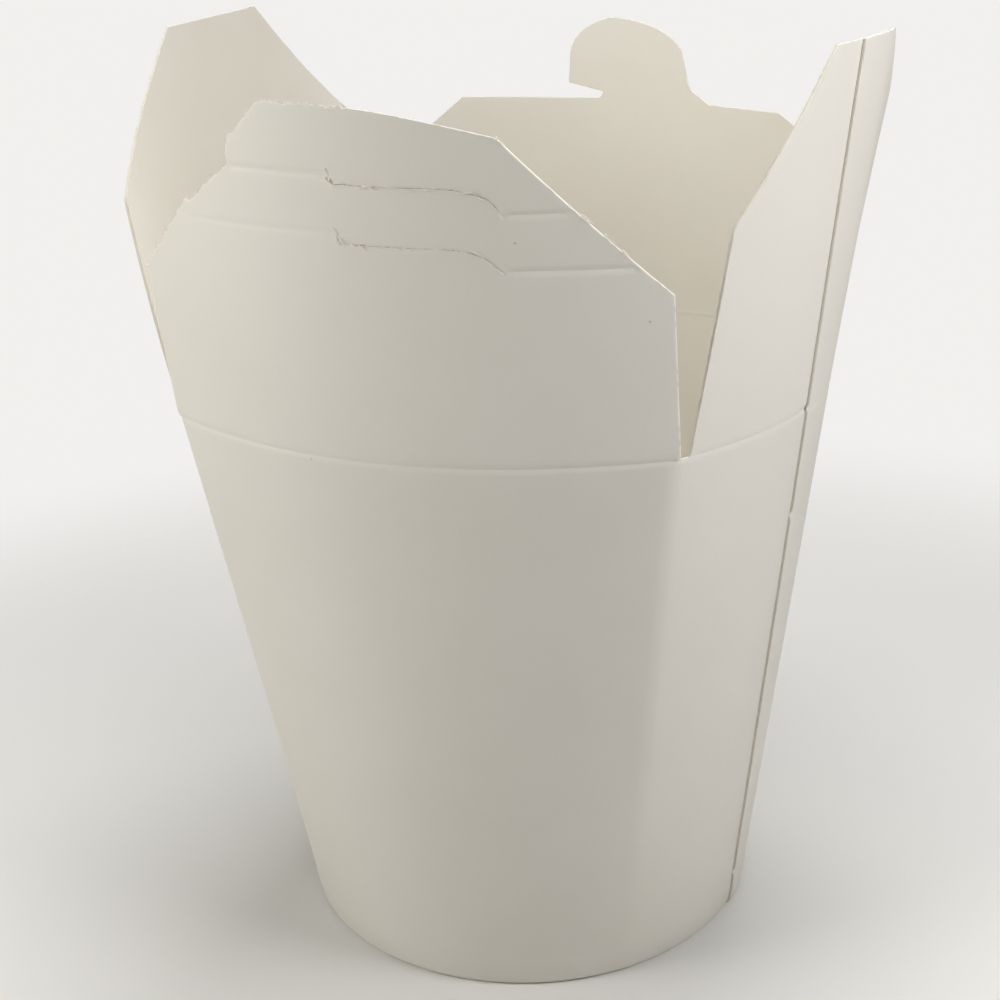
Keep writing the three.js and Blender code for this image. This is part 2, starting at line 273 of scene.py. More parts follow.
def ruled_point_tree():
    """A point of the wall's outer face. It is ruled: straight from the round foot to the bowed crease."""
    tree, given = new_tree("ruled_point", ["Share of height", *RULED_SIZES], {},
                           ("Turn", "NodeSocketFloat"), ("Point", "NodeSocketVector"))
    panel = add(tree, "ShaderNodeMath", [given["Turn"]], operation="FLOOR")
    along = add(tree, "ShaderNodeMath", [given["Turn"], panel], operation="SUBTRACT")
    across = add(tree, "ShaderNodeMath", [along, 2.0, -1.0], operation="MULTIPLY_ADD")
    square = add(tree, "ShaderNodeMath", [across, across], operation="MULTIPLY")
    bulge = add(tree, "ShaderNodeMath", [1.0, square], operation="SUBTRACT")
    on_side = add(tree, "ShaderNodeMath", [panel, 2.0], operation="FLOORED_MODULO")
    bow = add(tree, "ShaderNodeMix", {"Factor": on_side, "A": given["Front bow"], "B": given["Side bow"]})
    out = add(tree, "ShaderNodeMath", [bow, bulge, given["Half side"]], operation="MULTIPLY_ADD")
    dipped = add(tree, "ShaderNodeMath", [given["Crease dip"], bulge], operation="MULTIPLY")
    crease = add(tree, "ShaderNodeCombineXYZ", [
        add(tree, "ShaderNodeMath", [across, given["Half side"]], operation="MULTIPLY"),
        add(tree, "ShaderNodeMath", [out, -1.0], operation="MULTIPLY"),
        add(tree, "ShaderNodeMath", [given["Crease height"], dipped], operation="SUBTRACT"),
    ])
    radius = add(tree, "ShaderNodeVectorMath", {
        "Vector": (0.0, -1.0, 0.0), "Scale": given["Foot radius"],
    }, operation="SCALE")
    foot = add(tree, "ShaderNodeVectorRotate", {
        "Vector": radius, "Angle": add(tree, "ShaderNodeMath", [across, math.pi / 4], operation="MULTIPLY"),
    }, rotation_type="Z_AXIS")
    point = add(tree, "ShaderNodeMix", {
        "Factor": given["Share of height"], "A": foot, "B": crease,
    }, data_type="VECTOR", clamp_factor=False)
    turned = add(tree, "ShaderNodeVectorRotate", {
        "Vector": point, "Angle": add(tree, "ShaderNodeMath", [panel, math.pi / 2], operation="MULTIPLY"),
    }, rotation_type="Z_AXIS")
    add(tree, "NodeGroupOutput", [turned])
    return tree


ruled_point = ruled_point_tree()


def ruled(tree, given, turn, height):
    """The ruled point at a turn and a height, with the sizes handed on."""
    share = add(tree, "ShaderNodeMath", [height, given["Crease height"]], operation="DIVIDE")
    return add(tree, "GeometryNodeGroup", {
        "Turn": turn, "Share of height": share, **{label: given[label] for label in RULED_SIZES},
    }, node_tree=ruled_point)


def wrap_tree():
    """Wraps a blank whose x counts quarter turns, y is the height and z the depth below the outer face."""
    tree, given = new_tree("wrap_wall", [*RULED_SIZES, "Corner softness"], {
        "Foot centre": "Vector", **FINISH_SOCKETS,
    })
    flat = add(tree, "ShaderNodeSeparateXYZ", [add(tree, "GeometryNodeInputPosition")])
    turn, height, depth = flat.outputs
    width = add(tree, "ShaderNodeMath", [given["Half side"], 2.0], operation="MULTIPLY")
    step = add(tree, "ShaderNodeMath", [given["Corner softness"], width], operation="DIVIDE")
    earlier = add(tree, "ShaderNodeMath", [turn, step], operation="SUBTRACT").outputs[0]
    later = add(tree, "ShaderNodeMath", [turn, step], operation="ADD").outputs[0]
    before, here, after = (ruled(tree, given, place, height) for place in (earlier, turn, later))
    ends = add(tree, "ShaderNodeVectorMath", [before, after], operation="ADD")
    middle = add(tree, "ShaderNodeVectorMath", {"Vector": ends, "Scale": 0.5}, operation="SCALE")
    mean = add(tree, "ShaderNodeMix", {"Factor": 0.5, "A": here, "B": middle}, data_type="VECTOR")
    along = add(tree, "ShaderNodeVectorMath", [after, before], operation="SUBTRACT")
    across = add(tree, "ShaderNodeVectorMath", [(0.0, 0.0, 1.0), along], operation="CROSS_PRODUCT")
    inwards = add(tree, "ShaderNodeVectorMath", [across], operation="NORMALIZE")
    placed = add(tree, "ShaderNodeVectorMath", [inwards, depth, mean], operation="MULTIPLY_ADD")
    centred = add(tree, "ShaderNodeVectorMath", [placed, given["Foot centre"]], operation="ADD")
    wrapped = add(tree, "GeometryNodeSetPosition", {"Geometry": given["Geometry"], "Position": centred})
    finish_tree(tree, wrapped, given)
    return tree


def beside_corner(width):
    """Shares of a panel's width close to its corner, where the crease needs fine columns."""
    return np.append(CREASE_OFFSETS, (2.2 * MM, 3.4 * MM)) / width


def whole_panel(width):
    near = beside_corner(width)
    middle = np.linspace(EDGE_COLUMN / width, 1 - EDGE_COLUMN / width, PANEL_COLUMNS)
    return np.concatenate([near, middle, 1 - near[:0:-1]])


def far_part(width, seam):
    """From the seam's edge, over the lap and down off it, to the next corner."""
    lap, settled = seam + LAP / width, seam + (LAP + SETTLING) / width
    near = beside_corner(width)
    edge = seam + np.array([0, 0.15, 0.3, 0.5, 0.8]) * MM / width
    return np.concatenate([
        edge, np.linspace(edge[-1], lap, LAP_COLUMNS)[1:-1],
        np.linspace(lap, settled, SETTLING_COLUMNS)[:-1],
        np.linspace(settled, 1 - EDGE_COLUMN / width, FAR_COLUMNS), 1 - near[:0:-1],
    ])


def near_part(width, seam):
    """From the corner to the seam, and on beneath the far part to the end of the lap."""
    return np.concatenate([
        beside_corner(width), np.linspace(EDGE_COLUMN / width, seam, NEAR_COLUMNS)[:-1],
        np.linspace(seam, seam + LAP / width, LAP_COLUMNS),
    ])


def wall_columns():
    """The turn of each column at the foot and at the crease, and how far its board stands proud."""
    parts = []
    for width, seam in ((FOOT_QUARTER, (1 + SEAM_AT_FOOT) / 2), (PANEL_WIDTH, (1 + SEAM_AT_CREASE) / 2)):
        plain = whole_panel(width)
        parts.append(np.concatenate([
            1 + far_part(width, seam), 2 + plain, 3 + plain, 4 + plain, 5 + near_part(width, seam),
        ]))
    foot, crease = parts
    from_edge = (crease - crease[0]) * PANEL_WIDTH
    proud = (BOARD + GLUE) * (1 - smooth(LAP, LAP + SETTLING, from_edge))
    return foot, crease, proud


def roll(radius, centre):
    """Half a circle of the rolled foot, from the outer side to the inner one, as heights and depths."""
    angles = np.linspace(0, math.pi, ROLL_ROWS)
    return np.stack([centre - radius * np.sin(angles), centre - radius * np.cos(angles)], -1)


def wall_section():
    """Heights and depths once round the board's section, with the side that each stretch belongs to."""
    centre = BOARD + SKIRT_CLEARANCE + BOARD / 2
    face = np.stack([ROW_HEIGHTS, np.zeros_like(ROW_HEIGHTS)], -1)
    outer_roll = roll(centre, centre)
    outer, inner = 2 * centre, 2 * centre - BOARD
    hem = np.array([[HEM_BEND, outer], [HEM_HEIGHT, outer], [HEM_HEIGHT, inner], [HEM_BEND, inner]])
    inner_roll = roll(centre - BOARD, centre)[::-1]
    back = face[::-1] + (0, BOARD)
    rows = np.concatenate([face, outer_roll, hem, inner_roll, back])
    sides = [OUTSIDE] * (len(face) + len(outer_roll) + 1) + [CUT]
    sides += [INSIDE] * (len(inner_roll) + len(back) + 1) + [CUT]
    return rows, sides


def wall_relief(height, depth, from_corner, from_edge):
    """How far the wall's rows are pressed in at one column: crease, corner, seam edge, nicks and foot."""
    fade = smooth(CORNER_FROM, CORNER_FROM + CORNER_FADE, height)
    pressed = groove(CREASE_HEIGHT - height) + groove(from_corner, CORNER_DEPTH) * fade
    pressed -= BAND_SWELL * (1 - smooth(*BAND_TOP, height)) * smooth(*BAND_FOOT, height)
    pressed = np.where(depth > 0.5 * BOARD, BEAD_SHARE, 1) * np.where(depth > 1.2 * BOARD, 0, pressed)
    bevel = groove(from_edge, SEAM_BEVEL, SEAM_BEVEL_WIDTH)
    nicks = sum(groove(height - nick, BOARD - SEAM_BEVEL, NICK_SIZE) for nick in NICK_HEIGHTS)
    nicks = nicks * groove(from_edge, 1, 2 * NICK_SIZE)
    return pressed + np.where(depth > 0.5 * BOARD, 0, bevel + nicks)


def ring_quads(rings, count):
    """Quads between neighbouring rings of spots, with each one's number round the ring."""
    for i in range(rings - 1):
        for j in range(count):
            k = (j + 1) % count
            yield j, (i * count + j, i * count + k, (i + 1) * count + k, (i + 1) * count + j)


def wall_blank():
    """The flat strip, with its crease, seam edge, nicks and rolled foot pressed in."""
    foot, crease, proud = wall_columns()
    rows, sides = wall_section()
    count = len(rows)
    height, depth = rows[:, 0], rows[:, 1]
    share = height / CREASE_HEIGHT
    below_nick = 1 - smooth(NICK_HEIGHT - NICK_SIZE, NICK_HEIGHT + NICK_SIZE, height)
    shift = NICK_SHIFT / PANEL_WIDTH * below_nick
    grid = np.zeros((len(foot), count, 3))
    for i in range(len(foot)):
        from_corner = abs(crease[i] - round(crease[i])) * PANEL_WIDTH
        from_edge = (crease[i] - crease[0]) * PANEL_WIDTH
        turn = foot[i] + (crease[i] - foot[i]) * share - shift * groove(from_edge, 1, 3 * MM)
        pressed = wall_relief(height, depth, from_corner, from_edge)
        grid[i] = np.stack([turn, height, depth + pressed - proud[i]], -1)
    quads, marks = [], []
    for j, quad in ring_quads(len(foot), count):
        quads.append(quad)
        marks.append(sides[j])
    last = (len(foot) - 1) * count
    for j in range(count // 2 - 1):
        ends = (j, j + 1, count - 2 - j, count - 1 - j)
        quads.append(tuple(reversed(ends)))
        quads.append(tuple(last + k for k in ends))
        marks += [CUT, CUT]
    return blank_mesh("wall_blank", grid.reshape(-1, 3), quads, marks)


def blank_mesh(name, points, faces, sides):
    mesh = bpy.data.meshes.new(name)
    mesh.from_pydata([tuple(p) for p in points], [], faces)
    mesh.attributes.new("side", "INT", "FACE").data.foreach_set("value", np.array(sides, np.int32))
    return mesh


wall = formed("paperboard_wall", wall_blank(), wrap_tree(), {
    **RULED_SIZES, "Corner softness": CORNER_SOFTNESS, "Foot centre": FOOT_CENTRE, **FINISHES,
})
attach(wall, "box")
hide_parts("wall")

# The base: a disc of the same board with its rim pressed down into a skirt, which sits in the
# rolled foot. The pressing leaves a rounded edge.
BASE_UNDERSIDE = HEM_HEIGHT + 0.3 * MM
BASE_ROUNDING = 0.7 * MM
BASE_TURNS = np.linspace(0, 4, 161)
BASE_RINGS = np.linspace(3 * MM, FOOT_RADIUS, 12)
SKIRT_FOOT = BOARD + SKIRT_CLEARANCE
SAME_SPOT = 0.01 * MM


def base_tree():
    """Rings of the ruled form drawn in towards its axis. The blank's z is the share of the way there."""
    tree, given = new_tree("press_base", RULED_SIZES, {"Foot centre": "Vector", **FINISH_SOCKETS})
    flat = add(tree, "ShaderNodeSeparateXYZ", [add(tree, "GeometryNodeInputPosition")])
    turn, height, drawn_in = flat.outputs
    ring = ruled(tree, given, turn, height)
    outwards = add(tree, "ShaderNodeMath", [1.0, drawn_in], operation="SUBTRACT")
    scale = add(tree, "ShaderNodeCombineXYZ", [outwards, outwards, 0.0])
    level = add(tree, "ShaderNodeCombineXYZ", [0.0, 0.0, height])
    raised = add(tree, "ShaderNodeVectorMath", [ring, scale, level], operation="MULTIPLY_ADD")
    centred = add(tree, "ShaderNodeVectorMath", [raised, given["Foot centre"]], operation="ADD")
    pressed = add(tree, "GeometryNodeSetPosition", {"Geometry": given["Geometry"], "Position": centred})
    closed = add(tree, "GeometryNodeMergeByDistance", {"Geometry": pressed, "Distance": SAME_SPOT})
    finish_tree(tree, closed, given)
    return tree


def base_blank():
    """The section of the pressed disc, once for each turn: how high and how far in from the wall."""
    rim = BOARD + SKIRT_CLEARANCE
    under_rim = rim + BOARD
    bends = np.linspace(0, math.pi / 2, 6)
    top = BASE_UNDERSIDE + BOARD
    inner = BASE_ROUNDING - BOARD
    falls, draws = 1 - np.sin(bends), 1 - np.cos(bends)
    upper = np.stack([top - BASE_ROUNDING * falls, rim + BASE_ROUNDING * draws], -1)
    lower = np.stack([BASE_UNDERSIDE - inner * falls, under_rim + inner * draws], -1)
    outer_side = [[SKIRT_FOOT, rim], *upper, *([top, d] for d in BASE_RINGS)]
    inner_side = [[SKIRT_FOOT, under_rim], *lower, *([BASE_UNDERSIDE, d] for d in BASE_RINGS)]
    section = np.array(outer_side + inner_side[::-1])
    count = len(section)
    points = [(turn, h, d / FOOT_RADIUS) for turn in BASE_TURNS for h, d in section]
    faces, marks = [], []
    for j, (a, b, c, d) in ring_quads(len(BASE_TURNS), count):
        faces.append((a, d, c, b))
        marks.append(CUT if j == count - 1 else INSIDE)
    return blank_mesh("base_blank", points, faces, marks)


base = formed("base_disc", base_blank(), base_tree(), {
    **RULED_SIZES, "Foot centre": FOOT_CENTRE, **FINISHES,
})
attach(base, "box")
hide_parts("base")

# The flaps: the board goes on above the crease, and each flap leans and unbends in its own way.
# They are die cut, so the rims show the bare pulp.
GRID = 1.6 * MM
EDGE_SPACING = 0.7 * MM
OUTER_RIM = 0.12 * MM
HIGHLIT_RIM = 0.22 * MM
ROUGH_RIM = 0.04 * MM
INNER_RIM = 0.07 * MM
ROUNDED_SHARE = 0.3
CURVE_POINTS = 12
RIM_ROW = 0.5 * MM
RIM_ROW_ROOM = 0.9 * RIM_ROW
LINE_ROOM = 1.5 * RIM_ROW
GRID_ROOM = 2 * RIM_ROW
HOLE_ROOM = 0.2 * MM
LIFT_SIZES = (
    "Half side", "Crease height", "Crease dip", "Bow", "Edge lean", "Middle lean", "Twist", "Spread",
    "Quarter turns",
)


def lift_point_tree():
    """Lifts a point of a flap's flat blank, x across, y up from the crease and z deep, to its place."""
    tree, given = new_tree("lift_point", LIFT_SIZES, {"Foot centre": "Vector"},
                           ("Flat", "NodeSocketVector"), ("Point", "NodeSocketVector"))
    x, rise, depth = add(tree, "ShaderNodeSeparateXYZ", [given["Flat"]]).outputs
    edge_lean, half_side = given["Edge lean"], given["Half side"]
    width = add(tree, "ShaderNodeMath", [given["Spread"], rise, half_side], operation="MULTIPLY_ADD")
    across = add(tree, "ShaderNodeMath", [x, width], operation="DIVIDE")
    square = add(tree, "ShaderNodeMath", [across, across], operation="MULTIPLY")
    bulge = add(tree, "ShaderNodeMath", [1.0, square], operation="SUBTRACT")
    unbending = add(tree, "ShaderNodeMath", [given["Middle lean"], edge_lean], operation="SUBTRACT")
    bow = add(tree, "ShaderNodeMath", [unbending, rise, given["Bow"]], operation="MULTIPLY_ADD")
    lean = add(tree, "ShaderNodeMath", [given["Twist"], across, edge_lean], operation="MULTIPLY_ADD")
    edge_out = add(tree, "ShaderNodeMath", [lean, rise, half_side], operation="MULTIPLY_ADD")
    out = add(tree, "ShaderNodeMath", [bow, bulge, edge_out], operation="MULTIPLY_ADD")
    dipped = add(tree, "ShaderNodeMath", [given["Crease dip"], bulge], operation="MULTIPLY")
    height = add(tree, "ShaderNodeMath", [given["Crease height"], rise], operation="ADD")
    face = add(tree, "ShaderNodeCombineXYZ", [
        x, add(tree, "ShaderNodeMath", [out, -1.0], operation="MULTIPLY"),
        add(tree, "ShaderNodeMath", [height, dipped], operation="SUBTRACT"),
    ])
    slope = add(tree, "ShaderNodeMath", [bow, -2.0], operation="MULTIPLY")
    slant = add(tree, "ShaderNodeMath", [across, slope], operation="MULTIPLY")
    inwards = add(tree, "ShaderNodeVectorMath", [
        add(tree, "ShaderNodeCombineXYZ", [slant, width, 0.0]),
    ], operation="NORMALIZE")
    placed = add(tree, "ShaderNodeVectorMath", [inwards, depth, face], operation="MULTIPLY_ADD")
    angle = add(tree, "ShaderNodeMath", [given["Quarter turns"], math.pi / 2], operation="MULTIPLY")
    turned = add(tree, "ShaderNodeVectorRotate", {"Vector": placed, "Angle": angle}, rotation_type="Z_AXIS")
    centred = add(tree, "ShaderNodeVectorMath", [turned, given["Foot centre"]], operation="ADD")
    add(tree, "NodeGroupOutput", [centred])
    return tree


lift_point = lift_point_tree()


def lifted(tree, given, geometry):
    """Sets each point of the geometry to its lifted place."""
    lift = add(tree, "GeometryNodeGroup", {
        "Flat": add(tree, "GeometryNodeInputPosition"),
        **{label: given[label] for label in (*LIFT_SIZES, "Foot centre")},
    }, node_tree=lift_point)
    return add(tree, "GeometryNodeSetPosition", {"Geometry": geometry, "Position": lift})


def flap_tree():
    tree, given = new_tree("lift_flap", LIFT_SIZES, {"Foot centre": "Vector", **FINISH_SOCKETS})
    finish_tree(tree, lifted(tree, given, given["Geometry"]), given)
    return tree


lift_flap = flap_tree()


def panel(quarter_turns, bow, edge_lean, middle_lean, spread, twist=0.0):
    """How a flap carries its panel on above the crease, per metre of rise."""
    return {
        **{label: RULED_SIZES[label] for label in ("Half side", "Crease height", "Crease dip")},
        "Bow": bow, "Edge lean": edge_lean, "Middle lean": middle_lean, "Twist": twist, "Spread": spread,
        "Quarter turns": float(quarter_turns), "Foot centre": FOOT_CENTRE,
    }


def trace(form, start, *steps):
    """An outline in mm: a step of two numbers is a straight cut, one of four a cut that curves round
    its first two. Heights above the flat crease plane become the rise along the flap."""
    points = [np.array(start, float)]
    for step in steps:
        end = np.array(step[-2:], float)
        if len(step) == 4:
            pull = np.array(step[:2], float)
            shares = np.linspace(0, 1, CURVE_POINTS)[1:, None]
            curve = (1 - shares) ** 2 * points[-1] + 2 * shares * (1 - shares) * pull + shares**2 * end
            points.extend(curve)
        else:
            points.append(end)
    path = np.array(points) * MM
    width = form["Half side"] + form["Spread"] * path[:, 1]
    bulge = 1 - (path[:, 0] / width) ** 2
    path[:, 1] += np.where(path[:, 1] > 0, CREASE_DIP * bulge, 0)
    return path


def spaced(path, spacing, closed=True):
    """The same path with points no further apart than the spacing."""
    ends = np.roll(path, -1, 0) if closed else path[1:]
    pieces = []
    for a, b in zip(path, ends):
        count = max(1, math.ceil(np.linalg.norm(b - a) / spacing))
        pieces.append(a + (b - a) * (np.arange(count) / count)[:, None])
    if not closed:
        pieces.append(path[-1:])
    return np.concatenate(pieces)


def to_path(points, path):
    """Distance of points from a path, how far along it the nearest place is, its length, and the side."""
    best = np.full(len(points), np.inf)
    where = np.zeros(len(points))
    left = np.zeros(len(points), bool)
    run = 0.0
    for a, b in zip(path[:-1], path[1:]):
        length = np.linalg.norm(b - a)
        from_a = points - a
        share = np.clip(from_a @ (b - a) / length**2, 0, 1)
        gap = np.linalg.norm(from_a - share[:, None] * (b - a), axis=1)
        closer = gap < best
        best = np.where(closer, gap, best)
        where = np.where(closer, run + share * length, where)
        left = np.where(closer, (b - a)[0] * from_a[:, 1] > (b - a)[1] * from_a[:, 0], left)
        run += length
    return best, where, run, left


def inside(points, loops):
    """Whether each point lies inside the outline and outside its holes."""
    crossings = np.zeros(len(points), int)
    for loop in loops:
        for a, b in zip(loop, np.roll(loop, -1, 0)):
            spans = (a[1] > points[:, 1]) != (b[1] > points[:, 1])
            rise = b[1] - a[1] if b[1] != a[1] else 1
            x = a[0] + (points[:, 1] - a[1]) * (b[0] - a[0]) / rise
            crossings += spans & (points[:, 0] < x)
    return crossings % 2 == 1


def beside(path, offset):
    """A path moved sideways by the offset."""
    along = np.gradient(path, axis=0)
    along /= np.linalg.norm(along, axis=1)[:, None]
    return path + offset * np.stack([-along[:, 1], along[:, 0]], -1)


def free_edge(loop):
    """An outline without its foot at the crease, and a row of spots just inside it."""
    above = loop[:, 1] > SAME_SPOT
    first = np.flatnonzero(above & ~np.roll(above, 1))[0]
    edge = np.roll(loop, 1 - first, 0)[: above.sum() + 2]
    after = np.roll(loop, -1, 0)
    area = np.sum(loop[:, 0] * after[:, 1] - after[:, 0] * loop[:, 1])
    return edge, beside(edge, math.copysign(RIM_ROW, area))


def sheet_mesh(loops, lines, relief, highlit=(), rough=()):
    """Triangles of a sheet with holes, fine along its rim and its lines, as points, faces and sides."""
    low, high = loops[0].min(0), loops[0].max(0)
    xs = np.arange(low[0] + GRID / 2, high[0], GRID)
    ys = np.arange(low[1] + 2 * GRID, high[1], GRID)
    field = np.array([(x, y) for y in ys for x in xs])
    edge, rim_row = free_edge(loops[0])
    rows = [np.array([(x, y) for y in CREASE_OFFSETS[1:] for x in xs])]
    for line in lines:
        fine = spaced(line, GRID / 2, False)
        rows += [fine, *(beside(fine, side * offset) for offset in CREASE_OFFSETS[1:] for side in (1, -1))]
        field = field[to_path(field, line)[0] > 2 * CREASE_OFFSETS[-1]]
    rooms = ((field, GRID_ROOM), (np.concatenate(rows), LINE_ROOM), (rim_row, RIM_ROW_ROOM))
    field = np.concatenate([spots[to_path(spots, edge)[0] > room] for spots, room in rooms])
    clear = inside(field, loops) & (field[:, 1] > CREASE_OFFSETS[1] / 2)
    for hole in loops[1:]:
        clear &= to_path(field, np.append(hole, hole[:1], 0))[0] > HOLE_ROOM
    points = np.concatenate([*loops, field[clear]])
    edges, start = [], 0
    for loop in loops:
        edges += [(start + i, start + (i + 1) % len(loop)) for i in range(len(loop))]
        start += len(loop)
    found, _, triangles, *_ = delaunay_2d_cdt([Vector(p) for p in points], edges, [], 0, 1e-7)
    spots = np.array([tuple(p) for p in found])
    triangles = np.array([t for t in triangles if len(t) == 3])
    triangles = triangles[inside(spots[triangles].mean(1), loops)]
    return board_from(spots, triangles, relief, highlit, rough)


def board_from(spots, triangles, relief, highlit, rough):
    """Gives a flat triangle mesh the board's thickness. The knife leaves its outer rim rounded, most
    along the paths that take the painted highlight, where the whole rim is painted a whiter pulp, and a rim
    along the rough ones is crushed and nearly square."""
    pairs = np.concatenate([triangles[:, [0, 1]], triangles[:, [1, 2]], triangles[:, [2, 0]]]).tolist()
    seen = {(a, b) for a, b in pairs}
    rim_edges = [(a, b) for a, b in pairs if (b, a) not in seen]
    count = len(spots)
    pull = np.zeros((count, 2))
    for a, b in rim_edges:
        along = spots[b] - spots[a]
        normal = np.array([-along[1], along[0]]) / np.linalg.norm(along)
        pull[a] += normal
        pull[b] += normal
    length = np.linalg.norm(pull, axis=1)
    pull /= np.where(length > 0, length, 1)[:, None]
    pull[spots[:, 1] < SAME_SPOT] = 0
    rim_side = np.full(count, CUT)
    rim_depth = np.full(count, OUTER_RIM)
    # Rims along the given highlight paths get the whiter pulp, a painted highlight.
    for paths, side, depth in ((highlit, HIGHLIT, HIGHLIT_RIM), (rough, CRUSHED, ROUGH_RIM)):
        for path in paths:
            close = to_path(spots, path)[0] < SAME_SPOT
            rim_side[close] = side
            rim_depth[close] = depth
    outer = pull * rim_depth[:, None]
    pressed, lift = relief(spots)
    top = pressed - lift
    under = BOARD + BEAD_SHARE * pressed - lift
    layers = [
        np.column_stack([spots + outer, top]),
        np.column_stack([spots + outer * ROUNDED_SHARE, top + rim_depth * ROUNDED_SHARE]),
        np.column_stack([spots, top + rim_depth]),
        np.column_stack([spots, under - INNER_RIM]),
        np.column_stack([spots + pull * INNER_RIM, under]),
    ]
    last = (len(layers) - 1) * count
    faces = [tuple(t) for t in triangles.tolist()]
    sides = [OUTSIDE] * len(faces)
    faces += [tuple(last + i for i in reversed(t)) for t in triangles.tolist()]
    sides += [INSIDE] * len(triangles)
    for a, b in rim_edges:
        for upper in range(len(layers) - 1):
            top_row, low_row = upper * count, (upper + 1) * count
            faces.append((top_row + b, top_row + a, low_row + a, low_row + b))
            rim = int(min(rim_side[a], rim_side[b]))
            # A painted-highlight rim keeps its whiter pulp on its rounded outer bands too.
            sides.append(OUTSIDE if upper < 2 and rim != HIGHLIT else rim)
    points = np.concatenate(layers)
    used = np.unique([i for f in faces for i in f])
    renumbered = np.zeros(len(points), int)
    renumbered[used] = np.arange(len(used))
    return points[used], [tuple(int(renumbered[i]) for i in f) for f in faces], sides


def joined(name, *sheets):
    points, faces, sides = [], [], []
    for more_points, more_faces, more_sides in sheets:
        start = sum(len(p) for p in points)
        points.append(more_points)
        faces += [tuple(start + i for i in f) for f in more_faces]
        sides += more_sides
    return blank_mesh(name, np.concatenate(points), faces, sides)


def closing_flap(name, form, *sheets):
    """Lifts a flap's sheets into their place above the crease."""
    flap = formed(name + "_closing_flap", joined(name + "_blank", *sheets), lift_flap, {**form, **FINISHES})
    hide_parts(name + "_flap")
    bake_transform(flap)


# The front flap: two slits take the back flap's tab, each carried on by scores on both sides. Its
# top slants, and from there round its left chamfer it was torn off its neighbour, not cleanly cut.
FRONT_END = 43
TORN_SPACING = 0.3 * MM
TORN_SIZE = 0.16 * MM
SLIT_WIDTH = 0.016 * MM
SLIT_SINK = 0.08 * MM
SLIT_RISE = 0.06 * MM
SLIT_SINK_WIDTH = 0.5 * MM
SLIT_WANDER = 0.3 * SLIT_WIDTH
SLIT_TAPER = 14
SLIT_TIP = 0.15
SLIT_END = (0, 2 * MM)
SCORE_END = (-0.2 * MM, 0.4 * MM)
RIGHT_CORNERS = [(FRONT_END, 0), (42.8, 25), (21.1, 47.4)]
front = panel(0, FRONT_BOW, edge_lean=0.05, middle_lean=0.08, spread=0.1)
right_rim = trace(front, *RIGHT_CORNERS)
cut_edge = trace(front, (-44.5, 25.5), (-44, 12, -FRONT_END, 0), *RIGHT_CORNERS, (8, 50.8, 0.5, 51.6))
torn_edge = trace(front, (0.5, 51.6), (-9, 52.1), (-13.2, 52.5), (-14.6, 51.9), (-17.6, 49.3),
                  (-20.8, 46.5), (-20.9, 44.4), (-21.1, 43.4), (-29.9, 37.8), (-32.8, 36.4), (-33.9, 34.9),
                  (-36.6, 32.7), (-39.7, 29.9), (-42, 27.9), (-44.5, 25.5))
upper_slit = trace(front, (-3.6, 42.6), (-2.9, 41.2), (4.5, 40.9), (12, 40.7),
                   (17.2, 40.6, 19.8, 38.9), (21.2, 36.8))
lower_slit = trace(front, (-3.2, 34.4), (-2.6, 32.8), (5, 32.5), (13, 32.3),
                   (17.4, 32.1, 19.2, 30.5), (21.3, 28.6))
scores = [
    (trace(front, (-20.8, 43.1), (-3.5, 42.5)), 0.75), (trace(front, (21.4, 37.0), (30.1, 37.2)), 1.1),
    (trace(front, (-30.4, 35.0), (-3.2, 34.4)), 0.45), (trace(front, (21.5, 29.2), (38.5, 29.2)), 1.05),
]


def ragged(path, size, seed):
    """A path pushed aside by smoothed random amounts, with its ends kept."""
    draw = np.random.default_rng(seed).normal(0, 1, len(path) + 2)
    push = (draw[:-2] + draw[1:-1] + draw[2:]) / 2 * size
    push[[0, -1]] = 0
    return path + (beside(path, 1) - path) * push[:, None]


def slit_loop(path, seed):
    """The narrow hole of a slit. Its width comes and goes, and it closes at both ends."""
    fine = ragged(spaced(path, EDGE_SPACING, False), SLIT_WANDER, seed)
    run = np.linspace(0, 1, len(fine))
    opening = np.random.default_rng(seed + 1).uniform(0.3, 1, len(fine))
    taper = np.minimum(1, SLIT_TAPER * np.minimum(run, 1 - run) + SLIT_TIP)
    half = (SLIT_WIDTH / 2 * opening * taper)[:, None]
    upper, lower = beside(fine, 1), beside(fine, -1)
    return np.concatenate([fine + (lower - fine) * half, (fine + (upper - fine) * half)[::-1]])


def crease_relief(scores=(), slits=()):
    """How deep each spot is pressed: by the crease at the flap's foot, by scores and past slits."""
    def relief(spots):
        pressed = groove(spots[:, 1])
        for score, strength in scores:
            gap, where, length, _ = to_path(spots, score)
            ends = smooth(*SCORE_END, where) * smooth(*SCORE_END, length - where)
            pressed = pressed + strength * groove(gap) * ends
        for slit in slits:
            gap, where, length, above = to_path(spots, slit)
            ends = smooth(*SLIT_END, where) * smooth(*SLIT_END, length - where)
            sunk = np.where(above, SLIT_SINK, -SLIT_RISE)
            pressed = pressed + sunk * np.exp(-gap / SLIT_SINK_WIDTH) * ends
        return pressed, np.zeros(len(spots))
    return relief


tear = ragged(spaced(torn_edge, TORN_SPACING, False), TORN_SIZE, 4)
holes = [slit_loop(upper_slit, 5), slit_loop(lower_slit, 6)]
front_loops = [np.concatenate([spaced(cut_edge, EDGE_SPACING, False)[:-1], tear[:-1]]), *holes]
front_lines = [line for line, _ in scores] + [upper_slit, lower_slit]
front_relief = crease_relief(scores, [upper_slit, lower_slit])
# The right rim takes the painted highlight: whiter pulp where the edge faces the lamps on the right.
front_sheet = sheet_mesh(front_loops, front_lines, front_relief, [right_rim], [tear, *holes])
closing_flap("front", front, front_sheet)

